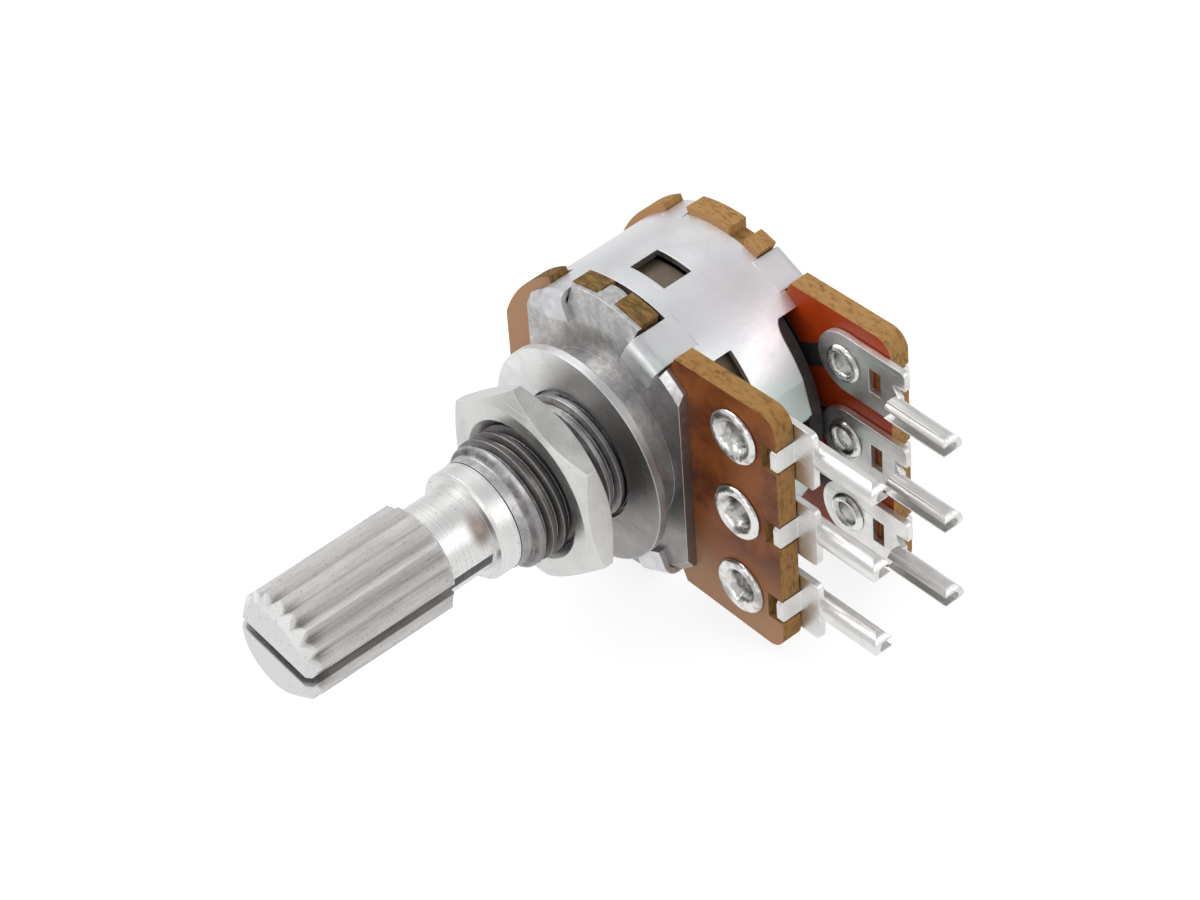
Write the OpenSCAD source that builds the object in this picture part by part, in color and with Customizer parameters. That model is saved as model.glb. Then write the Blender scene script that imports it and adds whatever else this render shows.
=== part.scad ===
// Twin-section rotary potentiometer with a knurled split shaft, bush mounting and six solder pins.
// Origin: shaft axis at the mounting face. -Y runs out along the shaft, +X towards the pins, +Z up.
// All sizes in millimetres.

/* [Shaft] */
// Diameter of the shaft over the knurl and over the collar
shaft_d = 6; // [5.6:0.1:6.2]
// Distance from the mounting face to the shaft tip
shaft_reach = 20.2; // [17:0.1:30]
// Number of knurl teeth
knurl_teeth = 18; // [12:1:30]
// Depth of one knurl tooth
knurl_depth = 0.45; // [0.2:0.05:0.5]
// Angle of the first knurl tooth
knurl_turn = 8.7; // [0:0.1:20]
// Length of the turned neck behind the knurl
neck_l = 2.8; // [1:0.05:3.2]
// Diameter of the neck
neck_d = 4.75; // [4.4:0.05:5.2]
// Length of the plain collar that stands in front of the bush
collar_l = 1.2; // [1:0.05:2]
// Width of the saw slot
slot_w = 0.7; // [0.6:0.05:1.4]
// Angle of the saw slot across the grip
slot_turn = -10.6; // [-30:0.1:30]
// How far the slot ends in front of the collar
slot_short = 0.15; // [0:0.05:0.5]
// Diameter of the journal inside the bush
journal_d = 5; // [4.8:0.05:5.1]
// Radial running clearance of the journals
running_c = 0.04; // [0.02:0.01:0.08]

/* [Bush and mounting plate] */
// Outside diameter of the threaded bush
bush_d = 7; // [6.9:0.1:7.2]
// Length of the bush in front of the mounting face
bush_l = 6.9; // [5.5:0.1:9]
// Diameter of the seat behind the washer
seat_d = 9.8; // [9:0.1:10.8]
// Height of the seat above the mounting plate
seat_h = 1.5; // [1:0.1:2]
// How far the rim of the mounting plate stays inside the cover's outside
plate_inset = 0.1; // [0:0.05:0.3]
// Width of the mounting plate across its two flats
plate_w = 11.1; // [10.6:0.1:11.6]
// Thickness of the mounting plate
plate_t = 0.6; // [0.5:0.1:1]
// Width of the locating pegs on the plate
peg_w = 1.1; // [0.8:0.1:1.3]

/* [Nut and washer] */
// Width of the hexagon nut across flats
nut_af = 10; // [9.5:0.1:11]
// Thickness of the nut
nut_t = 1.7; // [1.5:0.1:2.2]
// Distance from the mounting face to the back of the nut
nut_gap = 2.6; // [1:0.1:2.8]
// Angle of the nut's first corner
nut_turn = 37.5; // [0:0.5:60]
// Radial clearance between nut and bush
nut_c = 0.05; // [0.02:0.01:0.1]
// Outside diameter of the flat washer
washer_d = 12; // [10.5:0.1:13]
// Hole diameter of the flat washer
washer_hole_d = 7.3; // [7.3:0.1:7.6]
// Thickness of the flat washer
washer_t = 0.5; // [0.3:0.1:0.8]

/* [Wafers] */
// How far the rim of both wafers stands outside the cover
wafer_rim = 0.4; // [0.2:0.05:0.7]
// Thickness of a wafer
wafer_t = 1.2; // [1:0.1:1.6]
// Depth of the flat on the side away from the pins
wafer_flat = 0.5; // [0.2:0.05:0.8]
// Length of the wafers beyond the eyelets
wafer_beyond = 2.9; // [2.7:0.05:3.4]
// How far the straight sides end inside the cover's radius
wafer_side_in = 0.44; // [0.3:0.02:0.6]
// Inside length of the housing between the wafers
housing_l = 6.6; // [6.6:0.1:8]

/* [Cover] */
// Outside diameter of the sheet cover
cover_d = 16.2; // [15.6:0.1:18]
// Thickness of the cover sheet
cover_t = 0.35; // [0.25:0.01:0.4]
// Half angle of the open side towards the pins
open_half = 50.2; // [46:0.1:54]
// Width of the pair of tabs nearer the pins
tab_near_w = 2.07; // [1.6:0.01:2.3]
// Width of the pair of tabs farther from the pins
tab_far_w = 1.7; // [1.4:0.01:2]
// Length of a folded tab end
tab_fold_l = 1.5; // [1.3:0.1:2.6]
// Half width of the inspection window, as an angle
window_half = 8.95; // [5:0.05:11]
// Length of the inspection window along the shaft
window_l = 1.85; // [1:0.05:2.4]

/* [Terminals] */
// Pitch of the pins
pin_pitch = 5; // [4.4:0.1:5.1]
// Width of a terminal plate
term_w = 3.6; // [3:0.1:3.8]
// Thickness of the terminal sheet
term_t = 0.35; // [0.25:0.01:0.4]
// Distance of the eyelets from the cover's outside
eyelet_out = 0.75; // [0.6:0.05:1]
// Length of the pins beyond the wafers
pin_l = 5.28; // [3.5:0.01:10]
// Width of a pin
pin_w = 1.25; // [1:0.05:1.4]
// Depth of the channel section of a pin
pin_depth = 0.95; // [0.8:0.05:1.1]
// Forward step of the rear pins
rear_step = 0.39; // [0.2:0.01:0.5]
// Flange diameter of the eyelets
flange_d = 3.15; // [2.8:0.05:3.4]
// Bore of the eyelets
eyelet_bore_d = 1.5; // [0.8:0.05:1.6]

/* [Rotors] */
// Clearance between the rotor discs and the cover
rotor_c = 0.35; // [0.25:0.05:0.6]
// Half angle that the shaft turns from its middle to a stop
turn_half = 150; // [120:1:150]
// Clearance between the rotors and the drive flats
drive_c = 0.02; // [0.01:0.01:0.05]

/* [Hidden] */
$fn = 96;
e = 0.01;
shaft_r = shaft_d/2;
bush_r = bush_d/2;
y_bush = -bush_l;
y_collar = y_bush - collar_l;
y_neck = y_collar - neck_l;
y_tip = -shaft_reach;
collar_gap = 0.05;
y_plate = seat_h;
y_w1 = seat_h + plate_t;
y_in1 = y_w1 + wafer_t;
y_in2 = y_in1 + housing_l;
y_out = y_in2 + wafer_t;
clip_t = 0.4;
clip_r = 3.25;
groove_r = 2.1;
y_groove = y_w1 + 0.05;
drive_r = 2.3;
drive_flat = 1.75;
y_drive = y_w1 + 0.8;
spigot_r = 1.4;
cover_r = cover_d/2;
cover_ri = cover_r - cover_t;
plate_d = cover_d - 2*plate_inset;
wafer_d = cover_d + 2*wafer_rim;
wafer_back = wafer_d/2 - wafer_flat;
wafer_half = cover_r - wafer_side_in;
eyelet_x = cover_r + eyelet_out;
wafer_end = eyelet_x + wafer_beyond;
pin_reach = wafer_end + pin_l;
eyelet_hole_r = eyelet_bore_d/2 + 0.25;
y_cover = y_in1 + 0.35;
tab_near_a = 64.85;
tab_far_a = 115;
tab_slack = 0.1;
film_t = 0.05;
rim_t = 0.25;
rotor_r = cover_ri - rotor_c;
track_r1 = rotor_r - 0.7;
track_r0 = track_r1 - 1.3;
ring_r1 = track_r0 - 0.4;
ring_r0 = ring_r1 - 0.95;
wiper_r1 = ring_r0 - 0.3;
wiper_r0 = drive_r + 0.65;
peg_r = (wiper_r0 + wiper_r1)/2;
contact_rs = [(ring_r0 + ring_r1)/2, (track_r0 + track_r1)/2];
rotor_gap = 0.6;
y_rot1 = y_in1 + rotor_gap;
y_rot2 = y_in2 - rotor_gap;
spring_t = 0.12;
tongue_y0 = y_in1 + 2.1;
tongue_y1 = y_in2 - 1.63;
tongue_set = 0.17;
lip_r = plate_d/2 - 0.35;
hook_a = 12.5;
hook_y0 = y_in2 - 2.65;
hook_y1 = y_in2 - 1.8;
lug_half = 180 - turn_half - hook_a - 1.9;
rear_boss_r = rotor_r - 1;
hook_r = rear_boss_r + 0.35;

// Extrudes a shape drawn in X and Z from y0 to y1.
module slab(y0, y1) {
    translate([0, y1, 0]) rotate([90, 0, 0]) linear_extrude(y1 - y0) children();
}

// Round bar along the shaft axis from y0 to y1.
module bar(r, y0, y1) {
    translate([0, y1, 0]) rotate([90, 0, 0]) cylinder(h = y1 - y0, r = r);
}

// Turned shape about the shaft axis, its profile given as radius and Y.
module turned(profile) {
    rotate([-90, 0, 0]) rotate_extrude() polygon(profile);
}

// Pie slice between two angles, counted from +X towards +Z.
module slice(a0, a1, r) {
    steps = 8;
    polygon(concat([[0, 0]], [for (i = [0:steps]) let (a = a0 + (a1 - a0)*i/steps) [r*cos(a), r*sin(a)]]));
}

// Puts its children at the four tab places, each turned so that local X points outwards.
module at_tabs() {
    for (m = [0, 1]) mirror([0, 0, m]) {
        rotate([0, -tab_near_a, 0]) tab_width(tab_near_w) children();
        rotate([0, -tab_far_a, 0]) tab_width(tab_far_w) children();
    }
}

// Hands a tab width on to the children.
module tab_width(w) {
    $tab_w = w;
    children();
}

// Flat-bottomed notches that let the tabs pass over a rim.
module tab_notches(y0, y1, deep = 0.03) {
    at_tabs() translate([cover_ri - deep, y0, -$tab_w/2 - tab_slack])
        cube([3, y1 - y0, $tab_w + 2*tab_slack]);
}

module shaft() {
    color([0.72, 0.72, 0.72]) difference() {
        union() {
            // knurled grip
            intersection() {
                slab(y_tip, y_neck) polygon([for (i = [0:2*knurl_teeth - 1])
                    let (a = knurl_turn + 180*i/knurl_teeth, r = i%2 == 0 ? shaft_r : shaft_r - knurl_depth)
                    [r*cos(a), r*sin(a)]]);
                turned([[0, y_tip], [shaft_r - 0.62, y_tip], [shaft_r + 0.1, y_tip + 0.72],
                        [shaft_r + 0.1, y_neck - 0.35], [shaft_r - 0.45, y_neck], [0, y_neck]]);
            }
            // neck, collar, journal, drive section and rear spigot
            bar(neck_d/2, y_neck - e, y_collar + e);
            turned([[0, y_collar], [shaft_r - 0.15, y_collar], [shaft_r, y_collar + 0.15],
                    [shaft_r, y_bush - collar_gap], [0, y_bush - collar_gap]]);
            bar(journal_d/2, y_bush - collar_gap - e, y_drive);
            intersection() {
                bar(drive_r, y_drive - e, y_in2 - 0.5);
                translate([-5, y_drive - 1, -drive_flat]) cube([10, 20, 2*drive_flat]);
            }
            bar(spigot_r, y_in2 - 0.5 - e, y_out - 0.2);
        }
        // saw slot across the grip
        rotate([0, -slot_turn, 0]) translate([-5, y_tip - 1, -slot_w/2])
            cube([10, y_collar - slot_short - y_tip + 1, slot_w]);
        // groove for the clip
        difference() {
            bar(journal_d/2 + 1, y_groove, y_groove + clip_t + 0.04);
            bar(groove_r, y_groove - 1, y_groove + clip_t + 1);
        }
    }
}

module retaining_clip() {
    color([0.6, 0.6, 0.62]) slab(y_groove + 0.02, y_groove + 0.02 + clip_t) difference() {
        circle(clip_r);
        circle(groove_r + 0.01);
        slice(-35, 35, 6);
        for (a = [120, 240]) rotate(a) translate([groove_r, 0]) circle(0.45);
    }
}

module bush_plate() {
    color([0.78, 0.78, 0.8]) difference() {
        union() {
            // bush and seat
            turned([[0, y_bush], [bush_r - 0.22, y_bush], [bush_r, y_bush + 0.22], [bush_r, 0],
                    [seat_d/2 - 0.1, 0], [seat_d/2, 0.1], [seat_d/2, y_plate + e], [0, y_plate + e]]);
            // plate with two flats, notched for the tabs
            difference() {
                intersection() {
                    turned([[0, y_plate], [plate_d/2 - 0.4, y_plate], [plate_d/2, y_plate + 0.35],
                            [plate_d/2, y_w1], [0, y_w1]]);
                    translate([-plate_w/2, 0, -20]) cube([plate_w, 10, 40]);
                }
                tab_notches(y_plate - 1, y_w1 + 1, 0.28);
            }
            // lips that reach back over the wafer between the tabs
            for (m = [0, 1]) mirror([0, 0, m]) difference() {
                slab(y_w1 - 0.1, y_w1 + 0.4) intersection() {
                    circle(plate_d/2);
                    slice(74.5, 106.5, 20);
                }
                bar(lip_r, y_w1 - 1, y_w1 + 1);
            }
            // locating pegs
            for (m = [0, 1]) mirror([0, 0, m]) intersection() {
                translate([-peg_w/2 - 0.1, y_w1 - 0.1, plate_d/2 - 0.8]) cube([peg_w, 1.45, 0.8]);
                bar(plate_d/2, y_plate, y_in1 + 1);
                translate([-0.1, y_w1 - 0.2, 0]) cylinder(h = 20, r = 1.55);
            }
        }
        bar(journal_d/2 + running_c, y_bush - 1, y_w1 + 1);
    }
}

module hex_nut() {
    color([0.8, 0.8, 0.82]) difference() {
        intersection() {
            slab(-nut_gap - nut_t, -nut_gap) rotate(nut_turn) circle(d = nut_af/cos(30), $fn = 6);
            turned([[0, -nut_gap - nut_t], [nut_af/2 - 0.25, -nut_gap - nut_t],
                    [nut_af/2 + 0.9, -nut_gap - nut_t + 0.66], [nut_af/2 + 0.9, -nut_gap - 0.66],
                    [nut_af/2 - 0.25, -nut_gap], [0, -nut_gap]]);
        }
        bar(bush_r + nut_c, -nut_gap - nut_t - 1, -nut_gap + 1);
        // lead-in chamfers of the thread
        turned([[0, -nut_gap - nut_t - e], [bush_r + 0.45, -nut_gap - nut_t - e],
                [bush_r + nut_c, -nut_gap - nut_t + 0.4], [0, -nut_gap - nut_t + 0.4]]);
        turned([[0, -nut_gap + e], [bush_r + 0.45, -nut_gap + e],
                [bush_r + nut_c, -nut_gap - 0.4], [0, -nut_gap - 0.4]]);
    }
}

module flat_washer() {
    drop = (washer_hole_d - bush_d)/2 - 0.02;
    color([0.8, 0.8, 0.82]) translate([0, 0, -drop]) slab(-washer_t, 0) difference() {
        circle(d = washer_d);
        circle(d = washer_hole_d);
    }
}

// Outline shared by both wafers.
module wafer_outline() {
    c = 1;
    half_5 = wafer_half - 0.21;
    difference() {
        union() {
            circle(d = wafer_d);
            polygon([[0, -half_5 + 0.17], [wafer_end - c, -wafer_half], [wafer_end - c, -wafer_half + c],
                     [wafer_end, -wafer_half + c], [wafer_end, wafer_half - c],
                     [wafer_end - c, wafer_half - c], [wafer_end - c, wafer_half], [0, half_5 - 0.17]]);
            for (s = [-1, 1]) translate([wafer_end - c, s*(wafer_half - c)]) circle(c);
        }
        translate([-wafer_back - 5, -20]) square([5, 40]);
        // notches that the claws of the terminals go through
        for (i = [-1:1]) translate([wafer_end - 1, i*pin_pitch - 0.79]) square([2, 1.58]);
        for (i = [-1:1]) translate([eyelet_x, i*pin_pitch]) circle(eyelet_hole_r);
    }
}

module front_wafer() {
    color([0.55, 0.32, 0.2]) difference() {
        slab(y_w1, y_in1) difference() {
            wafer_outline();
            circle(clip_r + 0.35);
            for (s = [-1, 1]) translate([-0.1, s*(plate_d/2 + 0.52)])
                square([peg_w + 0.1, 2.7], center = true);
            // rim set back between the tabs for the lips of the plate
            for (m = [0, 1]) mirror([0, m]) difference() {
                slice(66, 114, 20);
                circle(lip_r - 0.02);
            }
        }
        tab_notches(y_w1 - 1, y_in1 + 1);
    }
}

module rear_wafer() {
    color([0.5, 0.16, 0.06]) difference() {
        slab(y_in2, y_out) difference() {
            wafer_outline();
            circle(spigot_r + running_c);
            for (s = [-1, 1]) translate([0.95, s*(wafer_d/2 + 0.3)]) square([1.1, 2], center = true);
        }
        tab_notches(y_in2 - 1, y_out + 1);
    }
}

// Tab drawn as a strip along Y with both ends folded in over the wafers.
module tab_strip(y0, y1, w, front) {
    flip = front ? 1 : -1;
    yf = front ? y_plate - cover_t : y_out + cover_t;
    ye = front ? y0 : y1;
    bend = front ? 0.25 : 0.12;
    translate([0, 0, -w/2]) linear_extrude(w) difference() {
        union() {
            // strip
            polygon([[cover_ri, yf + flip*(bend + cover_t)], [cover_r, yf + flip*(bend + cover_t)],
                     [cover_r, ye], [cover_ri, ye]]);
            // bend
            intersection() {
                translate([cover_ri - bend, yf + flip*(bend + cover_t)]) circle(cover_t + bend);
                translate([cover_ri - bend, front ? yf : yf - bend - cover_t]) square(cover_t + bend);
            }
            // folded end
            polygon([[cover_r - tab_fold_l, yf], [cover_ri - bend + e, yf],
                     [cover_ri - bend + e, yf + flip*cover_t], [cover_r - tab_fold_l, yf + flip*cover_t]]);
        }
        translate([cover_ri - bend, yf + flip*(bend + cover_t)]) circle(bend);
    }
}

// Sheet outline of the tongue, drawn flat: across the shaft from the middle of the tongue, and along it.
module tongue_outline() {
    mid = 34;
    function s(a) = cover_r*sin(a - mid);
    polygon([[s(open_half + 3), tongue_y0 - 0.1], [s(open_half + 0.4), tongue_y0 - 0.1],
             [s(open_half - 0.4), tongue_y0], [s(hook_a + 0.9), tongue_y0],
             [s(hook_a + 0.3), tongue_y0 + 0.12], [s(hook_a + 0.3), tongue_y1],
             [s(43), tongue_y1], [s(46), tongue_y1 + 0.06], [s(48.5), tongue_y1 + 0.17],
             [s(open_half), tongue_y1 + 0.36], [s(open_half + 3), tongue_y1 + 0.36]]);
}

// Round space inside a radius, cut by the plane in which the end of the tongue lies flat.
module under_tongue(r, set_in) {
    intersection() {
        bar(r, tongue_y0 - 1, tongue_y1 + 1);
        rotate([0, -15, 0]) translate([r - set_in - 40, 0, -20]) cube([40, 20, 40]);
    }
}

module tongue() {
    intersection() {
        difference() {
            under_tongue(cover_r, tongue_set);
            under_tongue(cover_ri, tongue_set);
        }
        rotate([0, 90 - 34, 0]) translate([0, 0, cover_ri - 2]) linear_extrude(4) mirror([1, 0])
            tongue_outline();
    }
    // end bent in towards the shaft as the stop
    rotate([0, -hook_a, 0]) translate([hook_r, hook_y0, -cover_t/2])
        cube([cover_r - 0.25 - hook_r, hook_y1 - hook_y0, cover_t]);
}

module cover() {
    color([0.8, 0.82, 0.84]) {
        difference() {
            bar(cover_r, y_in1, y_in2);
            bar(cover_ri, y_in1 - 1, y_in2 + 1);
            slab(y_in1 - 1, y_in2 + 1) slice(-open_half, open_half, 30);
            // front edge stands back from the wafer except at the far side
            slab(y_in1 - 1, y_cover) slice(-140, 140, 30);
            // windows
            for (m = [0, 1]) mirror([0, 0, m]) slab(y_in1 + 1.6, y_in1 + 1.6 + window_l)
                slice(91.35 - window_half, 91.35 + window_half, 30);
        }
        for (m = [0, 1]) mirror([0, 0, m]) {
            tongue();
            for (f = [true, false]) {
                rotate([0, -tab_near_a, 0]) tab_strip(y_cover + 0.4, y_in2 - 0.4, tab_near_w, f);
                rotate([0, -tab_far_a, 0]) tab_strip(y_cover + 0.4, y_in2 - 0.4, tab_far_w, f);
            }
        }
    }
}

// Hole that fits the two flats of the shaft.
module drive_hole() {
    intersection() {
        circle(drive_r + drive_c);
        square([10, 2*(drive_flat + drive_c)], center = true);
    }
}

module front_rotor() {
    color([0.33, 0.3, 0.28]) difference() {
        union() {
            bar(rotor_r, y_rot1, y_rot1 + 1.7);
            bar(ring_r1 - 0.5, y_rot1 + 1.6, y_rot2 - 2.75);
            for (a = [-60, 60]) rotate([0, a, 0]) translate([peg_r, 0, 0])
                bar(0.3, y_rot1 - 0.2, y_rot1 + 0.5);
        }
        slab(y_rot1 - 1, y_rot1 + 4) drive_hole();
        // room for the spring arms
        slab(y_rot1 - 1, y_rot1 + 0.4) intersection() {
            difference() { circle(track_r1); circle(wiper_r1 + 0.15); }
            slice(100, 260, 20);
        }
        // hollow of the rim behind the disc
        slab(y_rot1 + 0.9, y_rot1 + 3) difference() { circle(rotor_r - 0.7); circle(ring_r1 - 0.5); }
    }
}

module rear_rotor() {
    color([0.1, 0.1, 0.1]) difference() {
        union() {
            bar(rotor_r, y_rot2 - 0.85, y_rot2);
            bar(rear_boss_r, y_rot2 - 2.3, y_rot2 - 0.8);
            bar(ring_r1 - 0.5, y_rot2 - 2.65, y_rot2 - 2.2);
            // stop lug
            slab(hook_y0 - 0.05, y_rot2 - 0.8) intersection() {
                circle(rotor_r + 0.1);
                slice(180 - lug_half, 180 + lug_half, 20);
            }
            for (a = [-60, 60]) rotate([0, a, 0]) translate([peg_r, 0, 0])
                bar(0.3, y_rot2 - 0.5, y_rot2 + 0.2);
        }
        slab(y_rot2 - 4, y_rot2 + 1) drive_hole();
        slab(y_rot2 - 0.4, y_rot2 + 1) intersection() {
            difference() { circle(track_r1); circle(wiper_r1 + 0.15); }
            slice(100, 260, 20);
        }
    }
}

// Contact spring: ring on two pegs, two arms that reach round to the contact points.
module wiper(y0, tip) {
    slab(y0, y0 + spring_t) difference() {
        union() {
            circle(wiper_r1);
            for (r = contact_rs) intersection() {
                difference() { circle(r + 0.3); circle(r - 0.3); }
                slice(60, 186, 20);
            }
            rotate(66) translate([wiper_r1 - 0.2, -0.5]) square([contact_rs[1] - wiper_r1 + 0.3, 1]);
        }
        circle(wiper_r0);
        for (a = [-60, 60]) rotate(a) translate([peg_r, 0]) circle(0.32);
    }
    for (r = contact_rs) translate([-r, 0, 0]) bar(0.22, min(y0, tip), max(y0 + spring_t, tip));
}

module front_wiper() {
    color([0.8, 0.65, 0.4]) wiper(y_rot1 - spring_t, y_in1 + film_t + 0.02);
}

module rear_wiper() {
    color([0.8, 0.65, 0.4]) wiper(y_rot2, y_in2 - film_t - 0.02);
}

// Printed resistance track with its end pads.
module track(y0) {
    slab(y0, y0 + film_t) difference() {
        union() {
            intersection() {
                difference() { circle(track_r1); circle(track_r0); }
                slice(30, 330, 20);
            }
            for (s = [-1, 1]) {
                rotate(s*31) translate([track_r0, -0.65]) square([eyelet_x - track_r0 + 0.5, 1.3]);
                translate([eyelet_x, s*pin_pitch]) circle(1.5);
            }
        }
        for (s = [-1, 1]) translate([eyelet_x, s*pin_pitch]) circle(eyelet_hole_r);
    }
}

module front_track() {
    color([0.08, 0.08, 0.08]) track(y_in1);
}

module rear_track() {
    color([0.08, 0.08, 0.08]) track(y_in2 - film_t);
}

// Printed silver ring with its lead to the middle pin.
module collector(y0) {
    slab(y0, y0 + film_t) difference() {
        union() {
            circle(ring_r1);
            translate([ring_r1 - 0.5, -0.8]) square([eyelet_x - ring_r1, 1.6]);
            translate([eyelet_x, 0]) circle(1.5);
        }
        circle(ring_r0);
        translate([eyelet_x, 0]) circle(eyelet_hole_r);
    }
}

module front_collector() {
    color([0.7, 0.7, 0.68]) collector(y_in1);
}

module rear_collector() {
    color([0.7, 0.7, 0.68]) collector(y_in2 - film_t);
}

// Channel section of a pin, its closed side at zero and its groove towards +Y.
module pin_section() {
    r = pin_w/2;
    g = pin_w/2 - 0.34;
    difference() {
        union() {
            translate([r, 0]) circle(r);
            translate([r, -r]) square([pin_depth - r, 2*r]);
        }
        translate([r, 0]) circle(g);
        translate([r, -g]) square([pin_depth, 2*g]);
    }
}

// One terminal, with the face that lies on the wafer at zero and the pin's groove towards +Y.
module terminal(step) {
    root = wafer_end + 0.65;
    plate_end = wafer_end + 1.35;
    w = term_w/2;
    c = 0.35;
    // plate
    slab(0, term_t) difference() {
        union() {
            translate([eyelet_x, 0]) circle(w);
            translate([eyelet_x, -w]) square([plate_end - c - eyelet_x, 2*w]);
            translate([plate_end - c - e, -w + c]) square([c + e, 2*w - 2*c]);
            for (s = [-1, 1]) translate([plate_end - c, s*(w - c)]) circle(c);
        }
        translate([eyelet_x, 0]) circle(eyelet_hole_r);
        translate([wafer_end - 1.15, -0.75]) square([1.15 - term_t, 1.5]);
        // metal between plate and pin is drawn forward where the pin steps
        if (step > 0) translate([root - 0.1, -pin_w/2 - 0.1]) square([3, pin_w + 0.2]);
    }
    // claw through the wafer's end notch
    translate([wafer_end - term_t, 0, 0]) rotate([0, 90, 0]) linear_extrude(term_t)
        polygon([[-0.66, 0.02], [0.66, 0.02], [0.66, -wafer_t + 0.12], [0.6, -wafer_t - 0.02],
                 [0.46, -wafer_t - 0.1], [-0.46, -wafer_t - 0.1], [-0.6, -wafer_t - 0.02],
                 [-0.66, -wafer_t + 0.12]]);
    // sloping step
    if (step > 0) translate([0, 0, -pin_w/2 + 0.05]) linear_extrude(pin_w - 0.1)
        polygon([[root - 0.12, 0], [root - 0.12, term_t], [root + 0.6, step + term_t],
                 [root + 0.75, step + term_t], [root + 0.75, step + 0.05], [root + 0.6, step + 0.02]]);
    // pin with a rounded tip
    intersection() {
        translate([root + (step > 0 ? 0.45 : 0), step, 0]) rotate([90, 0, 90])
            linear_extrude(pin_reach - root) pin_section();
        union() {
            translate([root - 1, -1, -pin_w]) cube([pin_reach - pin_w/2 - root + 1, 4, 2*pin_w]);
            translate([pin_reach - pin_w/2, -1, 0]) rotate([-90, 0, 0]) cylinder(h = 4, r = pin_w/2);
        }
    }
}

module front_terminal(i) {
    color([0.82, 0.82, 0.84]) translate([0, y_in1 + film_t, i*pin_pitch]) terminal(0);
}

module rear_terminal(i) {
    color([0.82, 0.82, 0.84]) translate([0, y_in2 - film_t, i*pin_pitch]) mirror([0, 1, 0])
        terminal(rear_step);
}

// Hollow rivet: flange at zero on the wafer's outer face, barrel towards +Y, rolled rim on the terminal.
module eyelet() {
    rb = eyelet_bore_d/2;
    l = wafer_t + film_t + term_t;
    rotate([-90, 0, 0]) rotate_extrude() polygon([[rb + 0.22, 0], [flange_d/2 - 0.05, 0],
        [flange_d/2, -0.06], [flange_d/2 - 0.08, -0.2], [flange_d/2 - 0.3, -0.26],
        [rb + 0.3, -0.2], [rb + 0.1, -0.1], [rb, 0.05], [rb, l + 0.1], [rb + 0.06, l + rim_t - 0.03],
        [rb + 0.2, l + rim_t], [rb + 0.38, l + rim_t - 0.05], [rb + 0.45, l + 0.1],
        [rb + 0.45, l], [rb + 0.22, l]]);
}

module front_eyelet(i) {
    color([0.75, 0.76, 0.78]) translate([eyelet_x, y_w1, i*pin_pitch]) eyelet();
}

module rear_eyelet(i) {
    color([0.75, 0.76, 0.78]) translate([eyelet_x, y_out, i*pin_pitch]) mirror([0, 1, 0]) eyelet();
}

shaft();
retaining_clip();
bush_plate();
hex_nut();
flat_washer();
front_wafer();
rear_wafer();
cover();
front_rotor();
rear_rotor();
front_wiper();
rear_wiper();
front_track();
rear_track();
front_collector();
rear_collector();
front_terminal(1);  // front_terminal_1
front_terminal(0);  // front_terminal_2
front_terminal(-1);  // front_terminal_3
rear_terminal(1);  // rear_terminal_1
rear_terminal(0);  // rear_terminal_2
rear_terminal(-1);  // rear_terminal_3
front_eyelet(1);  // front_eyelet_1
front_eyelet(0);  // front_eyelet_2
front_eyelet(-1);  // front_eyelet_3
rear_eyelet(1);  // rear_eyelet_1
rear_eyelet(0);  // rear_eyelet_2
rear_eyelet(-1);  // rear_eyelet_3
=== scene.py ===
import bpy
import bmesh
import math
from mathutils import Matrix, Vector


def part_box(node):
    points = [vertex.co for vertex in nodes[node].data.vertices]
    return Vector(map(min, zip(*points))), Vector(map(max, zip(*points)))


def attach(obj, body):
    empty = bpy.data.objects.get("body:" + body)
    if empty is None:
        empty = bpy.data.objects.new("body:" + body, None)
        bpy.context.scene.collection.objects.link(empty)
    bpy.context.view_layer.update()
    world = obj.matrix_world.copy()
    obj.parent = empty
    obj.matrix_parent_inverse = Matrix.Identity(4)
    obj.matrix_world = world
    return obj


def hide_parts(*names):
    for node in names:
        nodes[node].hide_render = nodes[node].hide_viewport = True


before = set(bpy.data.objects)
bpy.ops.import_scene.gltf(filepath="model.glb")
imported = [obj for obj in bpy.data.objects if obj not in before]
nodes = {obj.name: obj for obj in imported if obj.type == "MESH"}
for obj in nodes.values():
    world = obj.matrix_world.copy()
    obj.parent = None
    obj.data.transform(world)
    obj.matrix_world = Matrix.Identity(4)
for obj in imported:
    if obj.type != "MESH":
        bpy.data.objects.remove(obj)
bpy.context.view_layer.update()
MM = 0.001

# Camera. It stands where the photograph was taken from, a little above the
# shaft and to the right of its tip, and is rolled slightly to the right.
camera_turn = math.radians(50.601)
camera_rise = math.radians(42.336)
camera_roll = math.radians(-4.372)
back = Vector((math.cos(camera_rise) * math.sin(camera_turn),
               -math.cos(camera_rise) * math.cos(camera_turn),
               math.sin(camera_rise)))
level = Vector((0, 0, 1)).cross(back).normalized()
upright = back.cross(level)
right = math.cos(camera_roll) * level + math.sin(camera_roll) * upright
up = -math.sin(camera_roll) * level + math.cos(camera_roll) * upright
eye = (0.510 * right - 0.269 * up + 249.169 * back + Vector((0, 0.3, 0))) * MM
camera = bpy.data.objects.new("camera", bpy.data.cameras.new("camera"))
camera.data.sensor_width = 36
camera.data.lens = 4999.13 * 36 / 1200
camera.data.clip_start = 0.01
camera.matrix_world = Matrix((right, up, back)).transposed().to_4x4()
camera.matrix_world.translation = eye
bpy.context.scene.collection.objects.link(camera)
bpy.context.scene.camera = camera


# Table and studio. The part lies on a plain white table under two large
# softboxes. The table shows white to the camera and keeps a faint shadow.
def add_node(tree, kind, settings=(), values=()):
    """Adds one node, with its settings and the values of its sockets."""
    made = tree.nodes.new(kind)
    for name, value in dict(settings).items():
        setattr(made, name, value)
    for name, value in dict(values).items():
        made.inputs[name].default_value = value
    return made


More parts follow.
